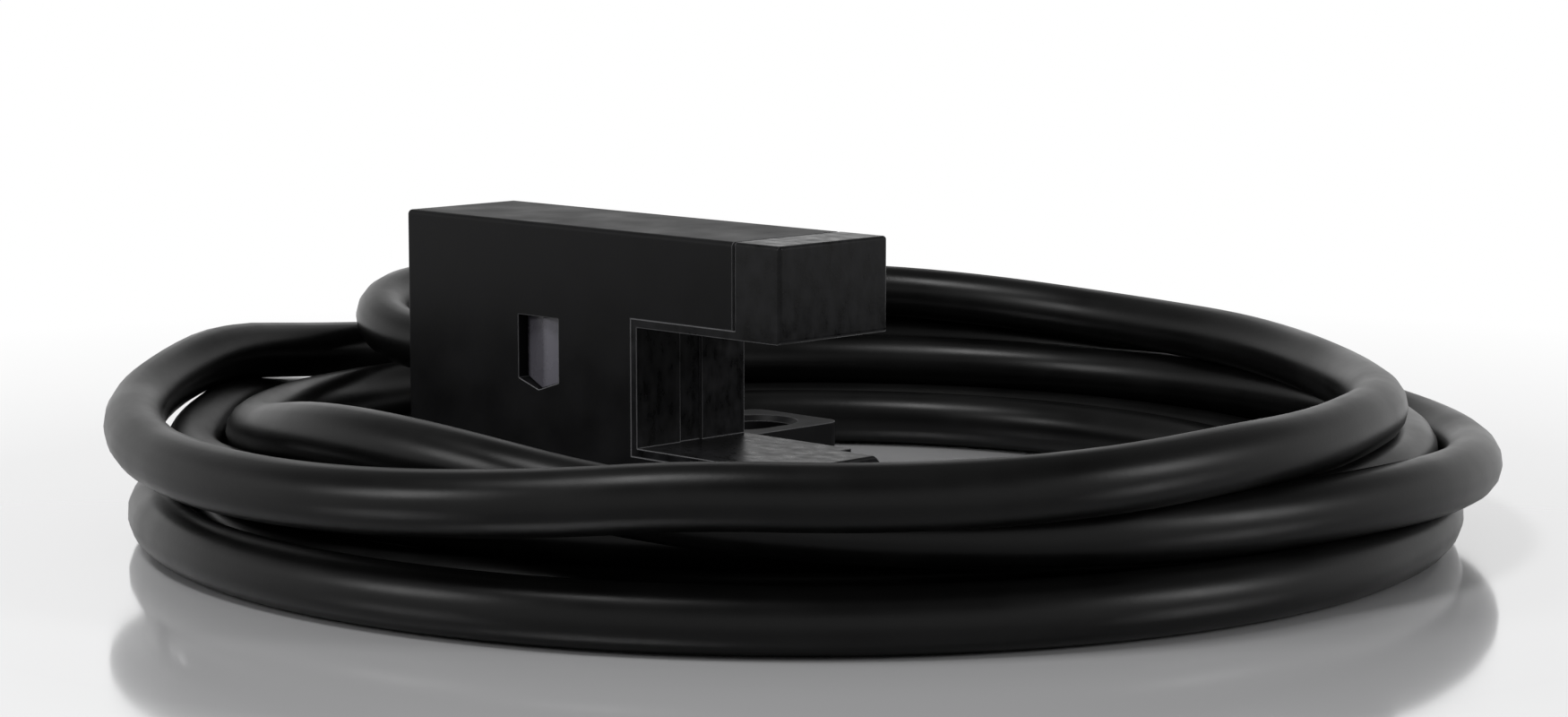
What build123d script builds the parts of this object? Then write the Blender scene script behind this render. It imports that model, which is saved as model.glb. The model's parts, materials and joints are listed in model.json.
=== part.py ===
from build123d import *
import math
import os

# T-shaped slot sensor with a round cable.
# Millimetres. +X runs from the cable end to the arm tips, +Z is up, away from the
# mounting face. The origin is the middle of the two screw slots on the mounting face.

# Housing: overall sizes
body_length = 22.7
body_width = 6.2
lower_arm = 3.9
slot_gap = 5.0
upper_arm = 3.9
slot_depth = 8.2
back_to_screws = 8.3
outer_edge_radius = 0.2
body_height = lower_arm + slot_gap + upper_arm
back_x = -back_to_screws
tip_x = back_x + body_length
slot_floor_x = tip_x - slot_depth
half_width = body_width / 2

# Flange wings
wing_length = 5.5
wing_span = 25.4
wing_thickness = 3.0
wing_corner_radius = 0.8
wing_root_radius = 0.5
screw_to_wing_end = 3.2
screw_spacing = wing_span - 2 * screw_to_wing_end
screw_slot_width = 3.2
screw_slot_length = 4.3
screw_slot_chamfer = 0.25
relief_length = 2.4
relief_width = 2.0
relief_depth = 1.6
relief_to_wing_front = 1.05
relief_to_body = 0.95

# Walls and the joint between the case and the optical insert
side_wall = 0.8
base_wall = 0.9
back_wall = 1.2
lining = 0.35
cap_length = 2.6
cap_wall = 0.6
joint_gap = 0.06
joint_bevel = 0.06
cavity_width = body_width - 2 * side_wall
joint_x = tip_x - cap_length
cavity_back_x = back_x + back_wall
cavity_top_z = body_height - base_wall
lining_x = slot_floor_x - lining
lower_lining_z = lower_arm - lining
upper_slot_z = lower_arm + slot_gap
upper_lining_z = upper_slot_z + lining

# Details of the optical insert
end_groove_width = 1.25
end_groove_depth = 0.12
tip_edge_radius = 0.15
corner_relief = 0.7
corner_relief_length = 2.0

# Indicator window
window_share = 0.444
window_above_middle = 1.1
window_width = 2.5
window_height = 2.7
window_point = 0.4
window_clearance = 0.05
lens_recess = 0.2
lens_ridge_height = 0.3
lens_ridge_offset = 0.15
lens_lip = 0.35
lens_lip_thickness = 0.4
light_pipe_side = 1.4
light_pipe_corner = 0.2
light_pipe_gap = 0.1
window_z = body_height / 2 + window_above_middle

# Circuit board in its grooves
board_thickness = 0.8
groove_depth = 0.3
groove_clearance = 0.05
board_to_back = 4.3
board_to_lining = 0.4
board_chamfer = 0.6
via_radius = 0.25
via_places = [(0.17, -0.346), (0.487, -0.381), (0.656, 0.26)]
board_back_x = back_x + board_to_back
board_front_x = lining_x - board_to_lining
board_length = board_front_x - board_back_x
window_x = board_back_x + window_share * board_length
board_bottom_z = base_wall - groove_depth
board_top_z = body_height - board_bottom_z - groove_clearance
board_height = board_top_z - board_bottom_z
board_face_y = board_thickness / 2

# Beam devices
beam_to_tip = 2.7
device_length = 2.6
device_width = 3.0
device_height = 1.5
device_chamfer = 0.3
dome_radius = 0.7
dome_height = 0.3
seat_clearance = 0.05
slit_thickness = 0.2
slit_width = 0.5
slit_length = 2.0
slit_plate_length = 2.4
lead_width = 0.4
lead_shoulder = 0.7
lead_shoulder_length = 1.0
lead_thickness = 0.15
lead_overlap = 0.21 * board_length
lead_spread = 0.5
beam_x = tip_x - beam_to_tip
device_back_x = beam_x - device_length / 2
emitter_bottom_z = upper_lining_z + seat_clearance + dome_height
slit_top_z = lower_lining_z - seat_clearance
receiver_top_z = slit_top_z - slit_thickness

# Cable, its stub and clamp in the case, and its cores
cable_diameter = 2.5
cable_z = body_height / 2
cable_hole_clearance = 0.05
stub_inside = 2.4
clamp_back_gap = 0.2
clamp_length = 0.8
clamp_wall = 0.5
clamp_rim_bevel = 0.15
resin_length = 1.6
core_diameter = 0.7
core_wire_diameter = 0.35
core_spread = 0.39
core_run = 0.095 * board_length
core_stripped = 0.053 * board_length
cable_radius = cable_diameter / 2
cable_hole_radius = cable_radius + cable_hole_clearance
stub_end_x = back_x + stub_inside

# Coil of the cable on the surface that the sensor stands on
coil_x = 7.6
coil_y = 5.3
coil_inner_radius = 21.0
coil_outer_radius = 29.2
coil_mid_height = 6.2
coil_rise = 2.8
coil_high_side = 137.5
coil_corner = 0.9

# Routes of the cable outside the coil, counted from the coil's centre, and its free
# cores, counted from the end of the sheath
arc_share = 0.45
lead_straight = 4.1
lead_end = (-26.5, -4.1, 5.4)
lead_route = [
    (back_x, 0, cable_z),
    (back_x - lead_straight, 0, cable_z),
    (coil_x + lead_end[0], coil_y + lead_end[1], lead_end[2]),
]
tail_places = [(-21.7, -9.9), (-20.3, -3.6), (-16.6, 2.6)]
tail_route = [(coil_x + along, coil_y + aside, cable_radius) for along, aside in tail_places]
free_core_diameter = 0.75
tinned_diameter = 0.55
tinned_length = 3.0
free_core_starts = {"brown": (-0.39, -0.22), "black": (0.0, 0.45), "blue": (0.39, -0.22)}
free_core_routes = {
    "brown": [(1.1, 2.7, 0.6), (1.8, 5.3, 0.38), (2.0, 8.0, 0.38)],
    "black": [(1.8, 2.6, 1.2), (3.4, 5.0, 0.45), (4.7, 7.5, 0.38)],
    "blue": [(2.1, 1.7, 0.6), (4.1, 3.4, 0.4), (5.7, 5.5, 0.38)],
}

# Margin for picking edges by their place or size
pick_margin = 0.01

os.makedirs("parts", exist_ok=True)


def save(builder, label):
    builder.part.label = label
    export_step(builder.part, "parts/" + label + ".step")


def along_board(share):
    """Place at a share of the board's length from its back edge."""
    return board_back_x + share * board_length


def up_board(rise):
    """Height at a share of the board's height above or below the cable's axis."""
    return cable_z + rise * board_height


def window_corners(clearance):
    """Indicator window in the side face: a rectangle with a pointed lower edge."""
    half = window_width / 2 - clearance
    top = window_height / 2 - clearance
    return [
        (window_x - half, window_z + top),
        (window_x + half, window_z + top),
        (window_x + half, window_z - top),
        (window_x, window_z - top - window_point),
        (window_x - half, window_z - top),
    ]


def bend_radii(route):
    """Largest arc that the runs beside each corner of a route leave room for."""
    points = [Vector(*point) for point in route]
    radii = []
    for before, corner, after in zip(points, points[1:], points[2:]):
        run_in = corner - before
        run_out = after - corner
        turn = math.radians(run_in.get_angle(run_out))
        radii.append(arc_share * min(run_in.length, run_out.length) / math.tan(turn / 2))
    return radii


def tube(name, route, diameter):
    """Round cord along a route of straight runs and tangent arcs; prints radii and volume."""
    radii = bend_radii(route)
    with BuildPart() as cord:
        with BuildLine() as path:
            FilletPolyline(*route, radius=radii)
        with BuildSketch(Plane(origin=path.line @ 0, z_dir=path.line % 0)):
            Circle(diameter / 2)
        sweep(path=path.line)
    path_length = sum(edge.length for edge in path.edges())
    expected = math.pi * (diameter / 2) ** 2 * path_length
    print(name, "radii", [round(radius, 1) for radius in radii])
    print(name, "volume", round(cord.part.volume, 2), "section times length", round(expected, 2))
    return cord.part


# Case: fork-shaped shell with the flange wings, open at the tips and along the slot
with BuildPart() as case:
    with BuildSketch(Plane.XZ):
        with BuildLine():
            Polyline(
                (back_x, 0),
                (joint_x, 0),
                (joint_x, lower_lining_z),
                (lining_x, lower_lining_z),
                (lining_x, upper_lining_z),
                (joint_x, upper_lining_z),
                (joint_x, body_height),
                (back_x, body_height),
                close=True,
            )
        make_face()
    extrude(amount=half_width, both=True)
    back_edges = case.edges().group_by(Axis.X)[0]
    top_edges = case.edges().group_by(Axis.Z)[-1].filter_by(Axis.X)
    fillet(back_edges + top_edges, radius=outer_edge_radius)
    joint_edges = case.edges().filter_by_position(Axis.X, joint_x - pick_margin, joint_x + pick_margin)
    slot_side_edges = joint_edges.filter_by(Axis.Y).filter_by_position(
        Axis.Z, lower_lining_z - pick_margin, upper_lining_z + pick_margin
    )
    chamfer(joint_edges - slot_side_edges, length=joint_bevel)
    with BuildSketch(Plane.XY) as wings:
        Rectangle(wing_length, wing_span)
        fillet(wings.vertices(), radius=wing_corner_radius)
    extrude(amount=wing_thickness)
    root_edges = (
        case.edges()
        .filter_by(Axis.Z)
        .filter_by_position(Axis.X, -wing_length / 2 - pick_margin, wing_length / 2 + pick_margin)
        .filter_by_position(Axis.Y, -half_width - pick_margin, half_width + pick_margin)
    )
    fillet(root_edges, radius=wing_root_radius)
    with BuildSketch(Plane.XY):
        with GridLocations(0, screw_spacing, 1, 2):
            SlotOverall(screw_slot_length, screw_slot_width, rotation=90)
    extrude(amount=wing_thickness, mode=Mode.SUBTRACT)
    slot_rims = (
        case.faces()
        .filter_by(GeomType.CYLINDER)
        .filter_by(lambda face: abs(face.radius - screw_slot_width / 2) < pick_margin)
        .edges()
        .filter_by(GeomType.CIRCLE)
    )
    chamfer(slot_rims, length=screw_slot_chamfer)
    relief_x = wing_length / 2 - relief_to_wing_front - relief_length / 2
    relief_y = half_width + relief_to_body + relief_width / 2
    with BuildSketch(Plane.XY):
        with Locations((relief_x, relief_y), (relief_x, -relief_y)):
            Rectangle(relief_length, relief_width)
    extrude(amount=relief_depth, mode=Mode.SUBTRACT)
    with BuildSketch(Plane.XZ):
        with BuildLine():
            Polyline(
                (cavity_back_x, base_wall),
                (joint_x, base_wall),
                (joint_x, lower_lining_z),
                (lining_x, lower_lining_z),
                (lining_x, upper_lining_z),
                (joint_x, upper_lining_z),
                (joint_x, cavity_top_z),
                (cavity_back_x, cavity_top_z),
                close=True,
            )
        make_face()
    extrude(amount=cavity_width / 2, both=True, mode=Mode.SUBTRACT)
    groove_width = board_thickness + 2 * groove_clearance
    groove_length = joint_x - board_back_x + groove_clearance
    with BuildSketch(Plane.XY.offset(base_wall - groove_depth)):
        with Locations((joint_x, 0)):
            Rectangle(groove_length, groove_width, align=(Align.MAX, Align.CENTER))
    extrude(amount=body_height - 2 * (base_wall - groove_depth), mode=Mode.SUBTRACT)
    with BuildSketch(Plane.YZ.offset(back_x)):
        with Locations((0, cable_z)):
            Circle(cable_hole_radius)
    extrude(amount=back_wall, mode=Mode.SUBTRACT)
    with BuildSketch(Plane.XZ.offset(half_width)):
        with BuildLine():
            Polyline(*window_corners(0), close=True)
        make_face()
    extrude(amount=-side_wall, mode=Mode.SUBTRACT)
save(case, "case")

# Optical insert: both arm tips and the lining of the slot, one dark moulding
cap_back_x = joint_x + joint_gap
with BuildPart() as optical_insert:
    with BuildSketch(Plane.XZ):
        with BuildLine():
            Polyline(
                (cap_back_x, 0),
                (tip_x, 0),
                (tip_x, lower_arm),
                (slot_floor_x, lower_arm),
                (slot_floor_x, upper_slot_z),
                (tip_x, upper_slot_z),
                (tip_x, body_height),
                (cap_back_x, body_height),
                (cap_back_x, upper_lining_z),
                (lining_x, upper_lining_z),
                (lining_x, lower_lining_z),
                (cap_back_x, lower_lining_z),
                close=True,
            )
        make_face()
    extrude(amount=half_width, both=True)
    tip_edges = optical_insert.edges().group_by(Axis.X)[-1]
    long_edges = optical_insert.edges().group_by(Axis.Z)[-1].filter_by(Axis.X)
    fillet(tip_edges + long_edges, radius=tip_edge_radius)
    joint_edges = optical_insert.edges().filter_by_position(
        Axis.X, cap_back_x - pick_margin, cap_back_x + pick_margin
    )
    slot_side_edges = joint_edges.filter_by(Axis.Y).filter_by_position(
        Axis.Z, lower_lining_z - pick_margin, upper_lining_z + pick_margin
    )
    chamfer(joint_edges - slot_side_edges, length=joint_bevel)
    with BuildSketch(Plane.YZ.offset(tip_x)):
        with BuildLine():
            Polyline(
                (half_width, lower_arm),
                (half_width - corner_relief, lower_arm),
                (half_width, lower_arm - corner_relief),
                close=True,
            )
        make_face()
    extrude(amount=-corner_relief_length, mode=Mode.SUBTRACT)
    with BuildSketch(Plane.YZ.offset(slot_floor_x - end_groove_depth)):
        with Locations((0, lower_arm + slot_gap / 2)):
            Rectangle(end_groove_width, slot_gap)
    extrude(amount=end_groove_depth, mode=Mode.SUBTRACT)
    hollow_height = lower_lining_z - base_wall
    with BuildSketch(Plane.YZ.offset(cap_back_x)):
        with Locations((0, base_wall + hollow_height / 2), (0, upper_lining_z + hollow_height / 2)):
            Rectangle(cavity_width, hollow_height)
    extrude(amount=cap_length - joint_gap - cap_wall, mode=Mode.SUBTRACT)
save(optical_insert, "optical_insert")

# Indicator lens: ridged prism in the window, with a lip behind the wall and a light pipe
lens_face_y = -half_width + lens_recess
lens_back_y = -cavity_width / 2
indicator_led_height = 0.7
lens_pipe_end_y = -board_face_y - indicator_led_height - light_pipe_gap
with BuildPart() as indicator_lens:
    with BuildSketch(Plane.XZ.offset(-lens_face_y)):
        with BuildLine():
            Polyline(*window_corners(window_clearance), close=True)
        make_face()
    extrude(amount=lens_face_y - lens_back_y)
    lens_half = window_width / 2 - window_clearance
    ridge_x = window_x + lens_ridge_offset
    with BuildSketch(Plane.XY.offset(window_z - window_height)):
        with BuildLine():
            Polyline(
                (window_x - lens_half, lens_face_y + lens_ridge_height),
                (ridge_x, lens_face_y),
                (window_x + lens_half, lens_face_y + lens_ridge_height),
                (window_x + lens_half, lens_back_y),
                (window_x - lens_half, lens_back_y),
                close=True,
            )
        make_face()
    extrude(amount=2 * window_height, mode=Mode.INTERSECT)
    with BuildSketch(Plane.XZ.offset(-lens_back_y)):
        with Locations((window_x, window_z - window_point / 2)):
            Rectangle(window_width + 2 * lens_lip, window_height + window_point + 2 * lens_lip)
    extrude(amount=-lens_lip_thickness)
    with BuildSketch(Plane.XZ.offset(-lens_back_y - lens_lip_thickness)):
        with Locations((window_x, window_z)):
            RectangleRounded(light_pipe_side, light_pipe_side, light_pipe_corner)
    extrude(amount=-(lens_pipe_end_y - lens_back_y - lens_lip_thickness))
save(indicator_lens, "indicator_lens")

# Circuit board, upright in the grooves of the case
with BuildPart() as circuit_board:
    with BuildSketch(Plane.XZ) as board_outline:
        with BuildLine():
            Polyline(
                (board_back_x, board_bottom_z),
                (board_front_x, board_bottom_z),
                (board_front_x, board_top_z),
                (board_back_x, board_top_z),
                close=True,
            )
        make_face()
        chamfer(board_outline.vertices().group_by(Axis.X)[0], length=board_chamfer)
        with Locations([(along_board(share), up_board(rise)) for share, rise in via_places]):
            Circle(via_radius, mode=Mode.SUBTRACT)
    extrude(amount=board_face_y, both=True)
save(circuit_board, "circuit_board")


# Infrared emitter in the upper arm, dome down towards the slot
dome_sphere_radius = (dome_radius**2 + dome_height**2) / (2 * dome_height)
with BuildPart() as dome:
    with Locations((beam_x, 0, emitter_bottom_z - dome_height + dome_sphere_radius)):
        Sphere(dome_sphere_radius)
    split(bisect_by=Plane.XY.offset(emitter_bottom_z), keep=Keep.BOTTOM)

with BuildPart() as infrared_emitter:
    with BuildSketch(Plane.XY.offset(emitter_bottom_z)):
        with Locations((beam_x, 0)):
            Rectangle(device_length, device_width)
    extrude(amount=device_height)
    chamfer(infrared_emitter.edges().group_by(Axis.Z)[-1], length=device_chamfer)
    add(dome.part)
save(infrared_emitter, "infrared_emitter")

# Light receiver in the lower arm, flat top under the slit plate
with BuildPart() as light_receiver:
    with BuildSketch(Plane.XY.offset(receiver_top_z - device_height)):
        with Locations((beam_x, 0)):
            Rectangle(device_length, device_width)
    extrude(amount=device_height)
    chamfer(light_receiver.edges().group_by(Axis.Z)[0], length=device_chamfer)
save(light_receiver, "light_receiver")

# Slit plate between the receiver and the lining
with BuildPart() as slit_plate:
    with BuildSketch(Plane.XY.offset(receiver_top_z)):
        with Locations((beam_x, 0)):
            Rectangle(slit_plate_length, cavity_width - 2 * seat_clearance)
            Rectangle(slit_width, slit_length, mode=Mode.SUBTRACT)
    extrude(amount=slit_thickness)
save(slit_plate, "slit_plate")


def device_lead(centre_z, side):
    """Flat lead with a shoulder, from a beam device back to a pad on one board face."""
    pad_x = board_front_x - lead_overlap
    shoulder_x = device_back_x - lead_shoulder_length
    with BuildPart() as lead:
        with BuildSketch(Plane.XZ.offset(-side * board_face_y)):
            with BuildLine():
                Polyline(
                    (device_back_x, centre_z - lead_shoulder / 2),
                    (device_back_x, centre_z + lead_shoulder / 2),
                    (shoulder_x, centre_z + lead_shoulder / 2),
                    (shoulder_x, centre_z + lead_width / 2),
                    (pad_x, centre_z + lead_width / 2),
                    (pad_x, centre_z - lead_width / 2),
                    (shoulder_x, centre_z - lead_width / 2),
                    (shoulder_x, centre_z - lead_shoulder / 2),
                    close=True,
                )
            make_face()
        extrude(amount=-side * lead_thickness)
    return lead.part


emitter_lead_z = emitter_bottom_z + device_height / 2
receiver_lead_z = receiver_top_z - device_height / 2
lead_pair = [device_lead(emitter_lead_z, 1), device_lead(emitter_lead_z, -1)]
with BuildPart() as emitter_leads:
    add(lead_pair)
save(emitter_leads, "emitter_leads")

lead_triple = [
    device_lead(receiver_lead_z, 1),
    device_lead(receiver_lead_z + lead_spread, -1),
    device_lead(receiver_lead_z - lead_spread, -1),
]
with BuildPart() as receiver_leads:
    add(lead_triple)
save(receiver_leads, "receiver_leads")


def board_part(x, z, length, height, thickness, side):
    """Block of a surface-mounted part on one board face."""
    with BuildPart() as block:
        with BuildSketch(Plane.XZ.offset(-side * board_face_y)):
            with Locations((x, z)):
                Rectangle(length, height)
        extrude(amount=-side * thickness)
    return block.part


# Parts on the board: places and lengths along it are shares of the board's length
ic_size = 0.317 * board_length
ic_thickness = 1.0
ic_x = along_board(0.52)
ic_z = cable_z
ic_pins_per_side = 4
transistor_x = along_board(0.487)
transistor_below = 3.0
transistor_z = cable_z - transistor_below
transistor_length = 0.1375 * board_length
transistor_height = 2.9
transistor_thickness = 1.0
diode_x = along_board(0.296)
diode_above = 4.0
diode_z = cable_z + diode_above
diode_length = 0.286 * board_length
diode_height = 1.5
diode_thickness = 1.0
block_bevel = 0.08
led_length = 0.8
led_height = 1.6
chip_length = 0.106 * board_length
chip_height = 0.5
chip_thickness = 0.35
capacitor_length = 0.169 * board_length
capacitor_height = 0.8
resistor_places = [(0.222, 0.277), (0.455, 0.364), (0.6455, -0.069), (0.6455, 0.087)]
capacitor_places = [(0.73, -0.225), (0.656, 0.234)]
pin_out = 0.35
pin_foot = 0.35
pin_thickness = 0.15
pin_width = 0.25
pin_pitch = ic_size / (ic_pins_per_side + 0.6)
transistor_pin_spread = 0.95

led_block = board_part(window_x, window_z, led_length, led_height, indicator_led_height, -1)
with BuildPart() as indicator_led:
    add(led_block)
    chamfer(indicator_led.edges().group_by(Axis.Y)[0], length=block_bevel)
save(indicator_led, "indicator_led")

ic_block = board_part(ic_x, ic_z, ic_size, ic_size, ic_thickness, 1)
with BuildPart() as control_ic:
    add(ic_block)
    chamfer(control_ic.edges().group_by(Axis.Y)[-1], length=block_bevel)
save(control_ic, "control_ic")

transistor_block = board_part(
    transistor_x, transistor_z, transistor_length, transistor_height, transistor_thickness, -1
)
with BuildPart() as output_transistor:
    add(transistor_block)
    chamfer(output_transistor.edges().group_by(Axis.Y)[0], length=block_bevel)
save(output_transistor, "output_transistor")

diode_block = board_part(diode_x, diode_z, diode_length, diode_height, diode_thickness, 1)
with BuildPart() as protection_diode:
    add(diode_block)
    chamfer(protection_diode.edges().group_by(Axis.Y)[-1], length=block_bevel)
save(protection_diode, "protection_diode")

resistor_blocks = [
    board_part(along_board(share), up_board(rise), chip_length, chip_height, chip_thickness, -1)
    for share, rise in resistor_places
]
with BuildPart() as chip_resistors:
    add(resistor_blocks)
save(chip_resistors, "chip_resistors")

capacitor_blocks = [
    board_part(along_board(share), up_board(rise), capacitor_length, capacitor_height, capacitor_height, 1)
    for share, rise in capacitor_places
]
with BuildPart() as chip_capacitors:
    add(capacitor_blocks)
save(chip_capacitors, "chip_capacitors")


def gull_pin(root_x, z, root_y, outward, side):
    """Bent pin: out of the package, down to the board face and along its pad."""
    face_y = side * board_face_y
    with BuildPart() as pin:
        with BuildSketch(Plane.XY.offset(z - pin_width / 2)):
            with BuildLine():
                Polyline(
                    (root_x, root_y),
                    (root_x + outward * pin_out, root_y),
                    (root_x + outward * pin_out, face_y + side * pin_thickness),
                    (root_x + outward * (pin_out + pin_foot), face_y + side * pin_thickness),
                    (root_x + outward * (pin_out + pin_foot), face_y),
                    (root_x + outward * (pin_out - pin_thickness), face_y),
                    (root_x + outward * (pin_out - pin_thickness), root_y - side * pin_thickness),
                    (root_x, root_y - side * pin_thickness),
                    close=True,
                )
            make_face()
        extrude(amount=pin_width)
    return pin.part


ic_root_y = board_face_y + ic_thickness / 2
transistor_root_y = -board_face_y - transistor_thickness / 2
transistor_half = transistor_length / 2
diode_root_y = board_face_y + diode_thickness / 2
pins = []
for row in range(ic_pins_per_side):
    pin_z = ic_z + (row - (ic_pins_per_side - 1) / 2) * pin_pitch
    pins.append(gull_pin(ic_x - ic_size / 2, pin_z, ic_root_y, -1, 1))
    pins.append(gull_pin(ic_x + ic_size / 2, pin_z, ic_root_y, 1, 1))
pins.append(gull_pin(transistor_x + transistor_half, transistor_z, transistor_root_y, 1, -1))
for pin_z in (transistor_z - transistor_pin_spread, transistor_z + transistor_pin_spread):
    pins.append(gull_pin(transistor_x - transistor_half, pin_z, transistor_root_y, -1, -1))
pins.append(gull_pin(diode_x - diode_length / 2, diode_z, diode_root_y, -1, 1))
pins.append(gull_pin(diode_x + diode_length / 2, diode_z, diode_root_y, 1, 1))
with BuildPart() as component_pins:
    add(pins)
save(component_pins, "component_pins")

# Cable stub, clamp ring and sealing resin at the back of the case
clamp_x = cavity_back_x + clamp_back_gap
clamp_radius = cable_radius + clamp_wall
with BuildPart() as cable_stub:
    with BuildSketch(Plane.YZ.offset(back_x)):
        with Locations((0, cable_z)):
            Circle(cable_radius)
    extrude(amount=stub_inside)
save(cable_stub, "cable_stub")

with BuildPart() as cable_clamp:
    with BuildSketch(Plane.YZ.offset(clamp_x)):
        with Locations((0, cable_z)):
            Circle(clamp_radius)
            Circle(cable_radius, mode=Mode.SUBTRACT)
    extrude(amount=clamp_length)
    rims = cable_clamp.edges().filter_by(GeomType.CIRCLE)
    chamfer(rims.group_by(SortBy.RADIUS)[-1], length=clamp_rim_bevel)
save(cable_clamp, "cable_clamp")

with BuildPart() as sealing_resin:
    with BuildSketch(Plane.YZ.offset(cavity_back_x)):
        with Locations((0, cable_z)):
            Rectangle(cavity_width, cavity_top_z - base_wall)
            Circle(cable_radius, mode=Mode.SUBTRACT)
    extrude(amount=resin_length)
    add(cable_clamp.part, mode=Mode.SUBTRACT)
save(sealing_resin, "sealing_resin")


# Cores inside the case, from the stub along the board to their pads: board face, and
# place above or below the cable's axis
inner_cores = {"brown": (1, core_spread), "blue": (1, -core_spread), "black": (-1, 0.0)}
pad_x = board_back_x + core_run
pad_ends = []
inner_core_parts = []
for name, (side, above) in inner_cores.items():
    core_place = (side * (board_face_y + core_diameter / 2), cable_z + above)
    with BuildPart() as core:
        with BuildSketch(Plane.YZ.offset(stub_end_x)):
            with Locations(core_place):
                Circle(core_diameter / 2)
        extrude(amount=pad_x - stub_end_x)
        with BuildSketch(Plane.YZ.offset(pad_x)):
            with Locations(core_place):
                Circle(core_wire_diameter / 2)
        extrude(amount=core_stripped)
    save(core, "core_" + name)
    pad_ends.append((pad_x + core_stripped, cable_z + above, side))
    inner_core_parts.append(core.part)

# Solder at the ends of the cores and of the device leads: square pads with sloping sides
solder_side = 0.75
solder_height = 0.3
solder_taper = 30
solder_spots = list(pad_ends)
lead_solder_x = board_front_x - lead_overlap
solder_spots += [(lead_solder_x, emitter_lead_z, 1), (lead_solder_x, emitter_lead_z, -1)]
solder_spots += [(lead_solder_x, receiver_lead_z, 1)]
solder_spots += [(lead_solder_x, receiver_lead_z + lead_spread, -1)]
solder_spots += [(lead_solder_x, receiver_lead_z - lead_spread, -1)]
with BuildPart() as solder_joints:
    for spot_x, spot_z, side in solder_spots:
        with BuildSketch(Plane.XZ.offset(-side * board_face_y)):
            with Locations((spot_x, spot_z)):
                Rectangle(solder_side, solder_side)
        extrude(amount=-side * solder_height, taper=solder_taper)
    add(inner_core_parts + [emitter_leads.part, receiver_leads.part], mode=Mode.SUBTRACT)
save(solder_joints, "solder_joints")

# Coil of the cable: one closed ring of the turns' outer shape, higher on the far side
with BuildPart() as cable_coil:
    coil_width = coil_outer_radius - coil_inner_radius
    section_plane = Plane(origin=(coil_x, coil_y, 0), x_dir=(1, 0, 0), z_dir=(0, -1, 0))
    section_height = coil_mid_height + coil_rise
    with BuildSketch(section_plane) as section:
        with Locations((coil_inner_radius, 0)):
            Rectangle(coil_width, section_height, align=(Align.MIN, Align.MIN))
        chamfer(section.vertices().group_by(Axis.Y)[0], length=coil_corner)
    revolve(axis=Axis((coil_x, coil_y, 0), (0, 0, 1)))
    slope = math.atan2(coil_rise, 2 * coil_outer_radius)
    lean = math.radians(coil_high_side)
    top_normal = (
        -math.sin(slope) * math.cos(lean),
        -math.sin(slope) * math.sin(lean),
        math.cos(slope),
    )
    split(bisect_by=Plane(origin=(coil_x, coil_y, coil_mid_height), z_dir=top_normal), keep=Keep.BOTTOM)
    top_face = cable_coil.faces().sort_by(Axis.Z)[-1]
    chamfer(top_face.edges(), length=coil_corner)
save(cable_coil, "cable_coil")

# Cable from the case to the coil, and from the coil to the free end
lead_tube = tube("cable lead", lead_route, cable_diameter)
with BuildPart() as cable_lead:
    add(lead_tube)
    add(cable_coil.part, mode=Mode.SUBTRACT)
save(cable_lead, "cable_lead")

tail_tube = tube("cable tail", tail_route, cable_diameter)
with BuildPart() as cable_tail:
    add(tail_tube)
    add(cable_coil.part, mode=Mode.SUBTRACT)
save(cable_tail, "cable_tail")

# Free cores with tinned ends
tail_heading = (Vector(*tail_route[-1]) - Vector(*tail_route[-2])).normalized()
tail_side = Vector(tail_heading.Y, -tail_heading.X, 0)
tail_end = Vector(*tail_route[-1])
core_ends = []
for name, route in free_core_routes.items():
    across, up = free_core_starts[name]
    start = tail_end + tail_side * across + Vector(0, 0, up)
    full_route = [tuple(start)]
    for along, aside, height in route:
        full_route.append((tail_end.X + along, tail_end.Y + aside, height))
    core_tube = tube("free core " + name, full_route, free_core_diameter)
    with BuildPart() as free_core:
        add(core_tube)
        add(cable_tail.part, mode=Mode.SUBTRACT)
    save(free_core, "free_core_" + name)
    last = Vector(*full_route[-1])
    core_ends.append((last, (last - Vector(*full_route[-2])).normalized()))

with BuildPart() as tinned_ends:
    for end_point, heading in core_ends:
        with BuildSketch(Plane(origin=end_point, z_dir=heading)):
            Circle(tinned_diameter / 2)
        extrude(amount=tinned_length)
save(tinned_ends, "tinned_ends")
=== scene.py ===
import json
import math
import bpy
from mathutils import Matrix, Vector


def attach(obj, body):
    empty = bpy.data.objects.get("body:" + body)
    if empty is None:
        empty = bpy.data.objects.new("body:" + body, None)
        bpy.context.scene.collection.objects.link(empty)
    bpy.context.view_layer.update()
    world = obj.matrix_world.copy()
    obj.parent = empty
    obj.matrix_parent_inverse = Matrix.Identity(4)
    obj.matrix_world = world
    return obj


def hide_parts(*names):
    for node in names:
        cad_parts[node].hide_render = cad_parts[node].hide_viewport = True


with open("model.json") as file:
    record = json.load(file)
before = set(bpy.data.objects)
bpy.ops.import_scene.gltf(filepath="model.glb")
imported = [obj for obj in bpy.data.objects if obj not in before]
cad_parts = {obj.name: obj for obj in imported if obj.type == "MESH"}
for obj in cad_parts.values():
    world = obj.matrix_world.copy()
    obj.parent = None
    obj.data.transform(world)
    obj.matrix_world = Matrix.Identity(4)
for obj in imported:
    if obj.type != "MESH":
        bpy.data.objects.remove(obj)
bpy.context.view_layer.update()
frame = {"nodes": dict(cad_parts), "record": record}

MM = 0.001
scene = bpy.context.scene

# Camera: from the window side and the arm tips, a little above the floor
VIEW_AZIMUTH = math.radians(47.5)
VIEW_ELEVATION = math.radians(10.0)
VIEW_DISTANCE = 160 * MM
VIEW_TARGET = Vector((5.6, 6.1, 6.7)) * MM
# In millimetres, as Blender has them
SENSOR_WIDTH = 36
FOCAL_LENGTH = 85.6
# Range that the camera sees, in metres
NEAREST = 0.005
FARTHEST = 10

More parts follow.
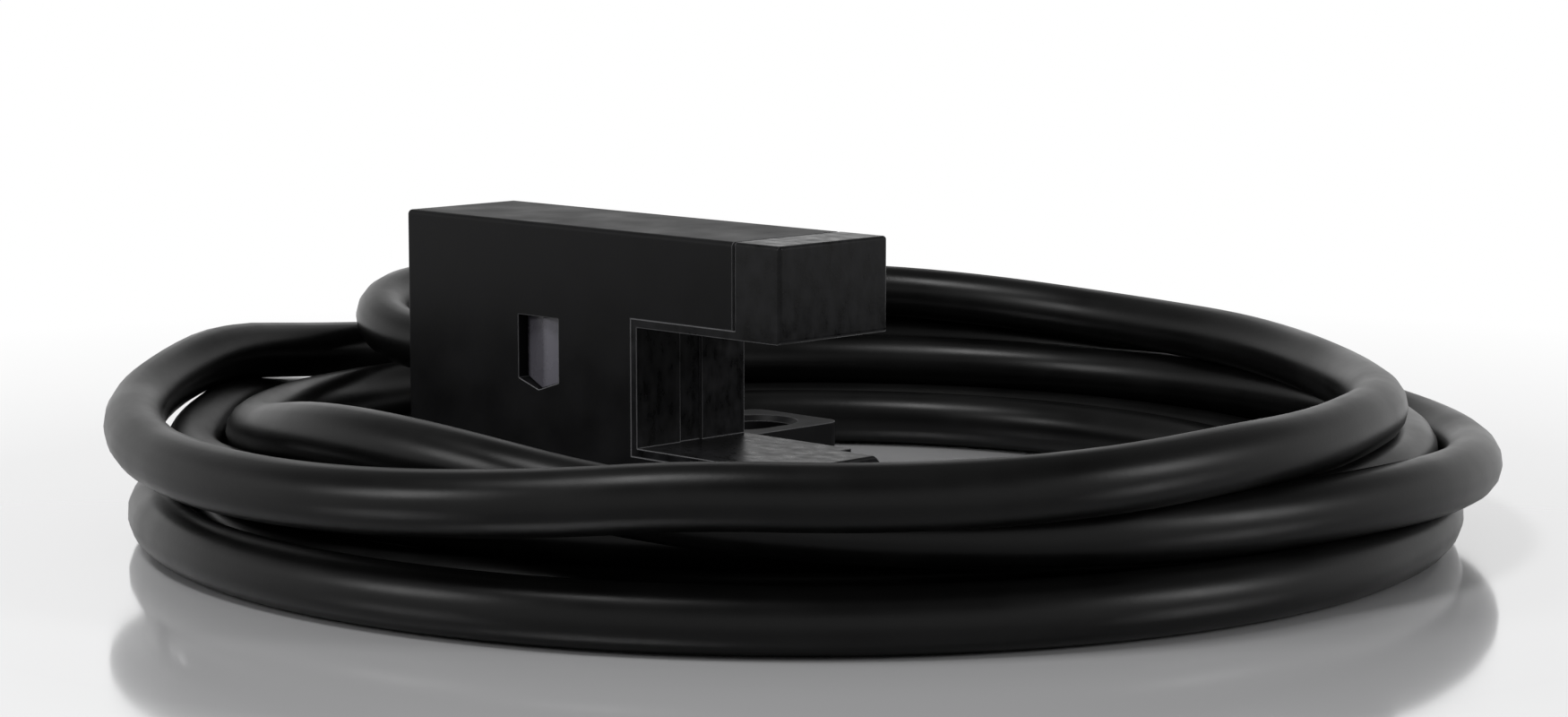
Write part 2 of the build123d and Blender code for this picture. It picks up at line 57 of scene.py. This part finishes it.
camera_data = bpy.data.cameras.new("camera")
camera_data.sensor_width = SENSOR_WIDTH
camera_data.lens = FOCAL_LENGTH
camera_data.clip_start = NEAREST
camera_data.clip_end = FARTHEST
camera = bpy.data.objects.new("camera", camera_data)
scene.collection.objects.link(camera)
towards_camera = Vector((
    math.sin(VIEW_AZIMUTH) * math.cos(VIEW_ELEVATION),
    -math.cos(VIEW_AZIMUTH) * math.cos(VIEW_ELEVATION),
    math.sin(VIEW_ELEVATION),
))
camera.location = towards_camera * VIEW_DISTANCE
camera.rotation_mode = "QUATERNION"
camera.rotation_quaternion = (VIEW_TARGET - camera.location).to_track_quat("-Z", "Y")
scene.camera = camera

# Cable: one smooth curve from the case through the coil to the end of the sheath.
# Lengths and places are in millimetres, in the row frame.
CABLE_DIAMETER = 2.5
COIL_CENTRE = (7.6, 5.3)
EXIT = (-8.3, 0.0, 6.4)
LEAD = [
    EXIT, (-10.3, 0.0, 6.4), (-12.9, 0.34, 6.5), (-15.3, 1.32, 6.8), (-17.35, 2.9, 7.1),
    (-18.95, 4.95, 7.35), (-19.95, 7.4, 7.45), (-20.3, 10.1, 7.4), (-20.0, 12.95, 7.25), (-18.5, 16.5, 7.0),
]
TAIL = [(-10.3, -7.0, 1.25), (-12.1, -2.2, 1.25), (-11.6, 3.9, 1.25), (-9.0, 7.93, 1.25)]

# Radius of each turn's centreline, the top turn first, at five stations as the photograph shows
# them: back, right, front, left, and under the lead. The turns differ in size, and the three
# upper ones cross each other. The last turn ends at its left, where the tail begins.
TURNS = [
    (27.2, 23.6, 27.6, 27.9, 26.8),
    (27.9, 27.9, 25.5, 22.9, 24.2),
    (25.6, 25.3, 22.9, 25.6, 27.95),
    (27.1, 26.2, 27.0, 27.0, 25.4),
    (24.5, 23.6, 24.4, 24.4, 22.85),
    (21.9, 21.0, 21.8, 21.8),
]
BACK_ANGLE = 137.5
# Steps of the curve from each station to the next
STATION_STEPS = (8, 8, 8, 4, 4)
STEPS_PER_TURN = sum(STATION_STEPS)
STEP_ANGLE = 360 / STEPS_PER_TURN
# How far a free stretch sags at each step, below the line between the steps beside it
SAG = 0.07
LAYING_PASSES = 300
# A curve of this kind runs inside its points, so they sit a little further out
OUTWARD = 1 / math.cos(math.radians(STEP_ANGLE / 2))
# Fineness of the tube's mesh, along each step of the curve and round it
ALONG_RESOLUTION = 4
ROUND_RESOLUTION = 6


def coil_radii():
    """Radius at each step of the coil, eased from station to station."""
    stations = [radius for turn in TURNS for radius in turn]
    radii = []
    for number, (here, there) in enumerate(zip(stations, stations[1:])):
        steps = STATION_STEPS[number % len(STATION_STEPS)]
        for step in range(steps):
            share = (1 - math.cos(math.pi * step / steps)) / 2
            radii.append(here + (there - here) * share)
    return radii + [stations[-1]]


def resting_height(step, radii, heights):
    """Height at which the cable lies on the floor or on the turns that are under it."""
    height = CABLE_DIAMETER / 2
    for under in range(step + STEPS_PER_TURN, len(radii), STEPS_PER_TURN):
        aside = radii[under] - radii[step]
        if abs(aside) < CABLE_DIAMETER:
            height = max(height, heights[under] + math.sqrt(CABLE_DIAMETER**2 - aside**2))
    return height


def coil_heights(radii):
    """Lays the cable from its free end up. Each pass lets its stiffness round the heights."""
    heights = [CABLE_DIAMETER / 2] * len(radii)
    for laying in range(LAYING_PASSES):
        for step in reversed(range(len(radii))):
            before = heights[step - 1] if step else LEAD[-1][2]
            after = heights[step + 1] if step < len(radii) - 1 else TAIL[0][2]
            heights[step] = max(resting_height(step, radii, heights), (before + after) / 2 - SAG)
    return heights


def cable_route():
    """Points of the whole curve: the lead, the coil's turns and the tail."""
    radii = coil_radii()
    route = list(LEAD)
    for step, (radius, height) in enumerate(zip(radii, coil_heights(radii))):
        angle = math.radians(BACK_ANGLE - STEP_ANGLE * step)
        route.append((
            COIL_CENTRE[0] + radius * OUTWARD * math.cos(angle),
            COIL_CENTRE[1] + radius * OUTWARD * math.sin(angle),
            height,
        ))
    return route + TAIL


route = cable_route()
cable_curve = bpy.data.curves.new("cable_line", "CURVE")
cable_curve.dimensions = "3D"
cable_curve.bevel_resolution = ROUND_RESOLUTION
cable_curve.resolution_u = ALONG_RESOLUTION
cable_curve.use_fill_caps = True
spline = cable_curve.splines.new("NURBS")
spline.points.add(len(route) - 1)
for point, place in zip(spline.points, route):
    point.co = (place[0] * MM, place[1] * MM, place[2] * MM, 1)
spline.order_u = 3
spline.use_endpoint_u = True
spline.use_smooth = True

# The curve without thickness gives the path, and with its thickness the tube
cable_line = bpy.data.objects.new("cable_line", cable_curve)
centreline = bpy.data.meshes.new_from_object(cable_line)
cable_curve.bevel_depth = CABLE_DIAMETER / 2 * MM
cable = bpy.data.objects.new("cable_cord", bpy.data.meshes.new_from_object(cable_line))
scene.collection.objects.link(cable)
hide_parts("cable_lead", "cable_coil", "cable_tail")
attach(cable, "root")

# Material helpers. A pattern lies in the object's own place, in metres.
# Sockets of a mix of two colours
MIX_SHARE = 0
MIX_FIRST = 6
MIX_SECOND = 7
MIX_RESULT = 2


def new_material(name):
    material = bpy.data.materials.new(name)
    material.use_nodes = True
    tree = material.node_tree
    shader = tree.nodes["Principled BSDF"]
    place = tree.nodes.new("ShaderNodeTexCoord")
    return material, tree, shader, place.outputs["Object"]


def noise(tree, place, per_mm, detail=4.0, stretch=(1, 1, 1)):
    """Cloudy pattern, with per_mm as its grains to a millimetre."""
    mapping = tree.nodes.new("ShaderNodeMapping")
    mapping.inputs["Scale"].default_value = [per_mm / MM * side for side in stretch]
    tree.links.new(place, mapping.inputs["Vector"])
    texture = tree.nodes.new("ShaderNodeTexNoise")
    texture.inputs["Scale"].default_value = 1.0
    texture.inputs["Detail"].default_value = detail
    tree.links.new(mapping.outputs["Vector"], texture.inputs["Vector"])
    return texture.outputs["Fac"]


def spread(tree, value, low, high, start=0.3, end=0.7):
    """Maps a value from start to end to the range from low to high."""
    node = tree.nodes.new("ShaderNodeMapRange")
    node.inputs["From Min"].default_value = start
    node.inputs["From Max"].default_value = end
    node.inputs["To Min"].default_value = low
    node.inputs["To Max"].default_value = high
    tree.links.new(value, node.inputs["Value"])
    return node.outputs["Result"]


def shades(tree, value, dark, light, start=0.35, end=0.65):
    """Maps a value from start to end to colours from dark to light."""
    ramp = tree.nodes.new("ShaderNodeValToRGB")
    ramp.color_ramp.elements[0].position = start
    ramp.color_ramp.elements[0].color = (*dark, 1)
    ramp.color_ramp.elements[1].position = end
    ramp.color_ramp.elements[1].color = (*light, 1)
    tree.links.new(value, ramp.inputs["Fac"])
    return ramp.outputs["Color"]


def rounded_normal(tree, radius_mm, samples):
    """Normal of the surface with its sharp edges rounded."""
    bevel = tree.nodes.new("ShaderNodeBevel")
    bevel.samples = samples
    bevel.inputs["Radius"].default_value = radius_mm * MM
    return bevel.outputs["Normal"]


def bumps(tree, shader, value, depth_mm, strength, edge_mm=0.0):
    """Raises the surface by a pattern and rounds its edges."""
    bump = tree.nodes.new("ShaderNodeBump")
    bump.inputs["Distance"].default_value = depth_mm * MM
    bump.inputs["Strength"].default_value = strength
    tree.links.new(value, bump.inputs["Height"])
    if edge_mm:
        tree.links.new(rounded_normal(tree, edge_mm, 6), bump.inputs["Normal"])
    tree.links.new(bump.outputs["Normal"], shader.inputs["Normal"])


def painted_edge_highlights(tree, color, radius_mm, tone):
    """Paints a highlight into a colour: lightens it along convex and concave edges, where rounded edges
    would catch the light.
    """
    face = tree.nodes.new("ShaderNodeNewGeometry")
    likeness = tree.nodes.new("ShaderNodeVectorMath")
    likeness.operation = "DOT_PRODUCT"
    tree.links.new(rounded_normal(tree, radius_mm, 8), likeness.inputs[0])
    tree.links.new(face.outputs["Normal"], likeness.inputs[1])
    mix = tree.nodes.new("ShaderNodeMix")
    mix.data_type = "RGBA"
    tree.links.new(spread(tree, likeness.outputs["Value"], 1.0, 0.0, 0.9, 0.995), mix.inputs[MIX_SHARE])
    tree.links.new(color, mix.inputs[MIX_FIRST])
    mix.inputs[MIX_SECOND].default_value = (*tone, 1)
    return mix.outputs[MIX_RESULT]


def plastic(name, dark, light, rough, grain_mm, depth_mm, edge_mm=0.0, specular=0.5, edge_highlight_tone=None):
    """Moulded plastic: a cloudy tone between dark and light, a fine grain, and, if a highlight tone is
    given, painted highlights along the edges.
    """
    material, tree, shader, place = new_material(name)
    cloud = noise(tree, place, 0.4, 6.0)
    grain = noise(tree, place, 1 / grain_mm, 3.0)
    color = shades(tree, cloud, dark, light)
    # Painted highlight: a light tone along the edges
    if edge_highlight_tone:
        color = painted_edge_highlights(tree, color, edge_mm, edge_highlight_tone)
    tree.links.new(color, shader.inputs["Base Color"])
    tree.links.new(spread(tree, cloud, rough[0], rough[1]), shader.inputs["Roughness"])
    shader.inputs["Specular IOR Level"].default_value = specular
    bumps(tree, shader, grain, depth_mm, 0.5, edge_mm)
    return material


# Painted highlights along the edges of the case and of the optical insert
EDGE_HIGHLIGHT_TONE = (0.15, 0.15, 0.155)
EDGE_MM = 0.08


def cable_black():
    """Cable jacket: smooth satin with faint clouds and a fine dust-like grain."""
    material, tree, shader, place = new_material("cable_black")
    cloud = noise(tree, place, 0.25, 5.0)
    grain = noise(tree, place, 6.0, 4.0)
    tone = shades(tree, cloud, (0.002, 0.002, 0.002), (0.004, 0.004, 0.004))
    tree.links.new(tone, shader.inputs["Base Color"])
    tree.links.new(spread(tree, cloud, 0.28, 0.38), shader.inputs["Roughness"])
    shader.inputs["Specular IOR Level"].default_value = 0.15
    bumps(tree, shader, grain, 0.01, 0.25)
    return material


def optical_black():
    """Optical insert: dark infrared plastic, streaked along the arms' end faces, with painted highlights
    along its edges.
    """
    material, tree, shader, place = new_material("optical_black")
    streak = noise(tree, place, 1.3, 6.0, (1, 1.5, 0.8))
    fine = noise(tree, place, 5.0, 5.0)
    streaks = shades(tree, streak, (0.003, 0.003, 0.0032), (0.011, 0.011, 0.012))
    # Painted highlight along the edges of the insert
    tree.links.new(painted_edge_highlights(tree, streaks, EDGE_MM, EDGE_HIGHLIGHT_TONE), shader.inputs["Base Color"])
    tree.links.new(spread(tree, streak, 0.22, 0.42), shader.inputs["Roughness"])
    shader.inputs["Specular IOR Level"].default_value = 0.12
    bumps(tree, shader, fine, 0.012, 0.35, EDGE_MM)
    return material


def lens_grey():
    """Indicator lens: smoky grey-violet moulding, with painted light and shade: lighter towards the arm
    tips, where its ridge's facet catches the light.
    """
    material, tree, shader, place = new_material("lens_grey")
    split = tree.nodes.new("ShaderNodeSeparateXYZ")
    tree.links.new(place, split.inputs["Vector"])
    # Painted shading across the lens, from its shaded facet to its lit one
    painted_lens_light = spread(tree, split.outputs["X"], 0.0, 1.0, 0.1 * MM, 0.6 * MM)
    tone = shades(tree, painted_lens_light, (0.075, 0.072, 0.085), (0.15, 0.146, 0.17), 0.2, 0.8)
    tree.links.new(tone, shader.inputs["Base Color"])
    cloud = noise(tree, place, 1.2, 4.0)
    tree.links.new(spread(tree, cloud, 0.2, 0.32), shader.inputs["Roughness"])
    bumps(tree, shader, cloud, 0.01, 0.3, 0.05)
    return material


def metal(name, pattern_per_mm, detail, stretch, dark, light, rough, depth_mm, strength):
    """Bare metal with a drawn or brushed pattern."""
    material, tree, shader, place = new_material(name)
    pattern = noise(tree, place, pattern_per_mm, detail, stretch)
    tree.links.new(shades(tree, pattern, dark, light), shader.inputs["Base Color"])
    tree.links.new(spread(tree, pattern, rough[0], rough[1]), shader.inputs["Roughness"])
    shader.inputs["Metallic"].default_value = 1.0
    bumps(tree, shader, pattern, depth_mm, strength)
    return material


def board_green():
    """Circuit board: green lacquer over a faint weave."""
    material, tree, shader, place = new_material("board_green")
    weave = noise(tree, place, 2.5, 3.0)
    tone = shades(tree, weave, (0.01, 0.075, 0.03), (0.016, 0.11, 0.045))
    tree.links.new(tone, shader.inputs["Base Color"])
    tree.links.new(spread(tree, weave, 0.25, 0.35), shader.inputs["Roughness"])
    bumps(tree, shader, weave, 0.01, 0.3)
    return material


paint = {
    # The case gets painted highlights along its edges
    "housing_black": plastic(
        "housing_black", dark=(0.003, 0.003, 0.0033), light=(0.0055, 0.0055, 0.006), rough=(0.4, 0.52),
        grain_mm=0.14, depth_mm=0.006, edge_mm=EDGE_MM, specular=0.1, edge_highlight_tone=EDGE_HIGHLIGHT_TONE,
    ),
    "package_black": plastic(
        "package_black", dark=(0.012, 0.012, 0.012), light=(0.03, 0.03, 0.03), rough=(0.45, 0.6),
        grain_mm=0.08, depth_mm=0.004,
    ),
    "resin_black": plastic(
        "resin_black", dark=(0.008, 0.008, 0.009), light=(0.02, 0.02, 0.022), rough=(0.15, 0.3),
        grain_mm=0.6, depth_mm=0.02,
    ),
    "led_white": plastic(
        "led_white", dark=(0.55, 0.55, 0.48), light=(0.7, 0.7, 0.62), rough=(0.2, 0.3),
        grain_mm=0.2, depth_mm=0.003,
    ),
    "ceramic_tan": plastic(
        "ceramic_tan", dark=(0.3, 0.22, 0.14), light=(0.42, 0.31, 0.2), rough=(0.35, 0.5),
        grain_mm=0.1, depth_mm=0.004,
    ),
    "core_brown": plastic(
        "core_brown", dark=(0.1, 0.036, 0.014), light=(0.16, 0.06, 0.025), rough=(0.3, 0.4),
        grain_mm=0.15, depth_mm=0.004,
    ),
    "core_blue": plastic(
        "core_blue", dark=(0.012, 0.075, 0.33), light=(0.02, 0.11, 0.43), rough=(0.3, 0.4),
        grain_mm=0.15, depth_mm=0.004,
    ),
    "core_black": plastic(
        "core_black", dark=(0.008, 0.008, 0.008), light=(0.018, 0.018, 0.018), rough=(0.3, 0.4),
        grain_mm=0.15, depth_mm=0.004,
    ),
    "cable_black": cable_black(),
    "optical_black": optical_black(),
    "lens_grey": lens_grey(),
    "tin": metal(
        "tin", pattern_per_mm=4.0, detail=2.0, stretch=(1.0, 1.0, 3.0), dark=(0.5, 0.49, 0.47),
        light=(0.75, 0.74, 0.72), rough=(0.2, 0.4), depth_mm=0.03, strength=0.6,
    ),
    "clamp_metal": metal(
        "clamp_metal", pattern_per_mm=3.0, detail=3.0, stretch=(0.2, 1.0, 1.0), dark=(0.42, 0.42, 0.42),
        light=(0.6, 0.6, 0.6), rough=(0.25, 0.4), depth_mm=0.01, strength=0.4,
    ),
    "board_green": board_green(),
}
cable.data.materials.append(paint["cable_black"])
for part in frame["record"]["subparts"]:
    node = frame["nodes"][part["node"]]
    node.data.materials.clear()
    node.data.materials.append(paint[part["material_slot"]])


def seen_rays(tree):
    """Is 1 for rays from the camera and for rays mirrored or let through by the object."""
    light_path = tree.nodes.new("ShaderNodeLightPath")
    total = light_path.outputs["Is Camera Ray"]
    for name in ("Is Glossy Ray", "Is Transmission Ray"):
        add = tree.nodes.new("ShaderNodeMath")
        add.use_clamp = True
        tree.links.new(total, add.inputs[0])
        tree.links.new(light_path.outputs[name], add.inputs[1])
        total = add.outputs["Value"]
    return total


def mixed(tree, share, first, second):
    mix = tree.nodes.new("ShaderNodeMixShader")
    tree.links.new(share, mix.inputs["Fac"])
    tree.links.new(first, mix.inputs[1])
    tree.links.new(second, mix.inputs[2])
    return mix.outputs["Shader"]


# Floor: pale with a clear gloss, so that it mirrors the object, and plain white further away
FLOOR_REACH = 2.0
# The floor lies a hair lower than the object, so that no two faces coincide
FLOOR_DROP = 0.02 * MM
# Distances from the coil's centre at which the white begins and is full
WHITE_BEGINS = 40 * MM
WHITE_IS_FULL = 80 * MM


def floor_paint():
    material, tree, shader, place = new_material("floor_paint")
    cloud = noise(tree, place, 0.004, 3.0)
    tone = shades(tree, cloud, (0.66, 0.66, 0.67), (0.68, 0.68, 0.69))
    tree.links.new(tone, shader.inputs["Base Color"])
    shader.inputs["Roughness"].default_value = 0.12
    shader.inputs["Specular IOR Level"].default_value = 0.8
    shader.inputs["Coat Weight"].default_value = 1.0
    shader.inputs["Coat Roughness"].default_value = 0.08
    shader.inputs["Coat IOR"].default_value = 1.8
    distance = tree.nodes.new("ShaderNodeVectorMath")
    distance.operation = "DISTANCE"
    tree.links.new(place, distance.inputs[0])
    distance.inputs[1].default_value = (COIL_CENTRE[0] * MM, COIL_CENTRE[1] * MM, 0)
    away = spread(tree, distance.outputs["Value"], 0.0, 1.0, WHITE_BEGINS, WHITE_IS_FULL)
    shown = tree.nodes.new("ShaderNodeMath")
    shown.operation = "MULTIPLY"
    tree.links.new(away, shown.inputs[0])
    tree.links.new(seen_rays(tree), shown.inputs[1])
    white = tree.nodes.new("ShaderNodeEmission")
    surface = mixed(tree, shown.outputs["Value"], shader.outputs["BSDF"], white.outputs["Emission"])
    tree.links.new(surface, tree.nodes["Material Output"].inputs["Surface"])
    return material


floor_mesh = bpy.data.meshes.new("floor")
corners = [(x * FLOOR_REACH, y * FLOOR_REACH, 0) for x, y in ((-1, -1), (1, -1), (1, 1), (-1, 1))]
floor_mesh.from_pydata(corners, [], [(0, 1, 2, 3)])
floor_mesh.materials.append(floor_paint())
floor = bpy.data.objects.new("floor", floor_mesh)
floor.location.z = -FLOOR_DROP
scene.collection.objects.link(floor)

# World: a white backdrop low down, a dim room above it, and an even soft light
BACKDROP_TOP = 0.3
ROOM_BEGINS = 0.6
ROOM_TONE = (0.2, 0.2, 0.2)
WORLD_LIGHT = 0.3

world = bpy.data.worlds.new("world")
scene.world = world
world.use_nodes = True
tree = world.node_tree
tree.nodes.clear()
output = tree.nodes.new("ShaderNodeOutputWorld")
direction = tree.nodes.new("ShaderNodeTexCoord")
split = tree.nodes.new("ShaderNodeSeparateXYZ")
tree.links.new(direction.outputs["Generated"], split.inputs["Vector"])
backdrop = shades(tree, split.outputs["Z"], (1, 1, 1), ROOM_TONE, BACKDROP_TOP, ROOM_BEGINS)
seen = tree.nodes.new("ShaderNodeBackground")
tree.links.new(backdrop, seen.inputs["Color"])
unseen = tree.nodes.new("ShaderNodeBackground")
unseen.inputs["Color"].default_value = (1, 1, 1, 1)
unseen.inputs["Strength"].default_value = WORLD_LIGHT
surroundings = mixed(tree, seen_rays(tree), unseen.outputs["Background"], seen.outputs["Background"])
tree.links.new(surroundings, output.inputs["Surface"])

# Lamps: soft boxes, with their places and sizes in millimetres, aimed at the middle of the object
LAMP_AIM = Vector((6, 4, 5)) * MM


def area_light(name, place_mm, width_mm, height_mm, watts):
    data = bpy.data.lights.new(name, "AREA")
    data.shape = "RECTANGLE"
    data.size = width_mm * MM
    data.size_y = height_mm * MM
    data.energy = watts
    light = bpy.data.objects.new(name, data)
    light.location = Vector(place_mm) * MM
    light.rotation_mode = "QUATERNION"
    light.rotation_quaternion = (LAMP_AIM - light.location).to_track_quat("-Z", "Y")
    scene.collection.objects.link(light)


area_light("top_light", place_mm=(-30, -140, 330), width_mm=90, height_mm=90, watts=0.6)
area_light("left_light", place_mm=(-150, -330, 190), width_mm=90, height_mm=120, watts=0.45)
area_light("right_light", place_mm=(330, 150, 150), width_mm=60, height_mm=120, watts=0.45)

scene.view_settings.view_transform = "Standard"
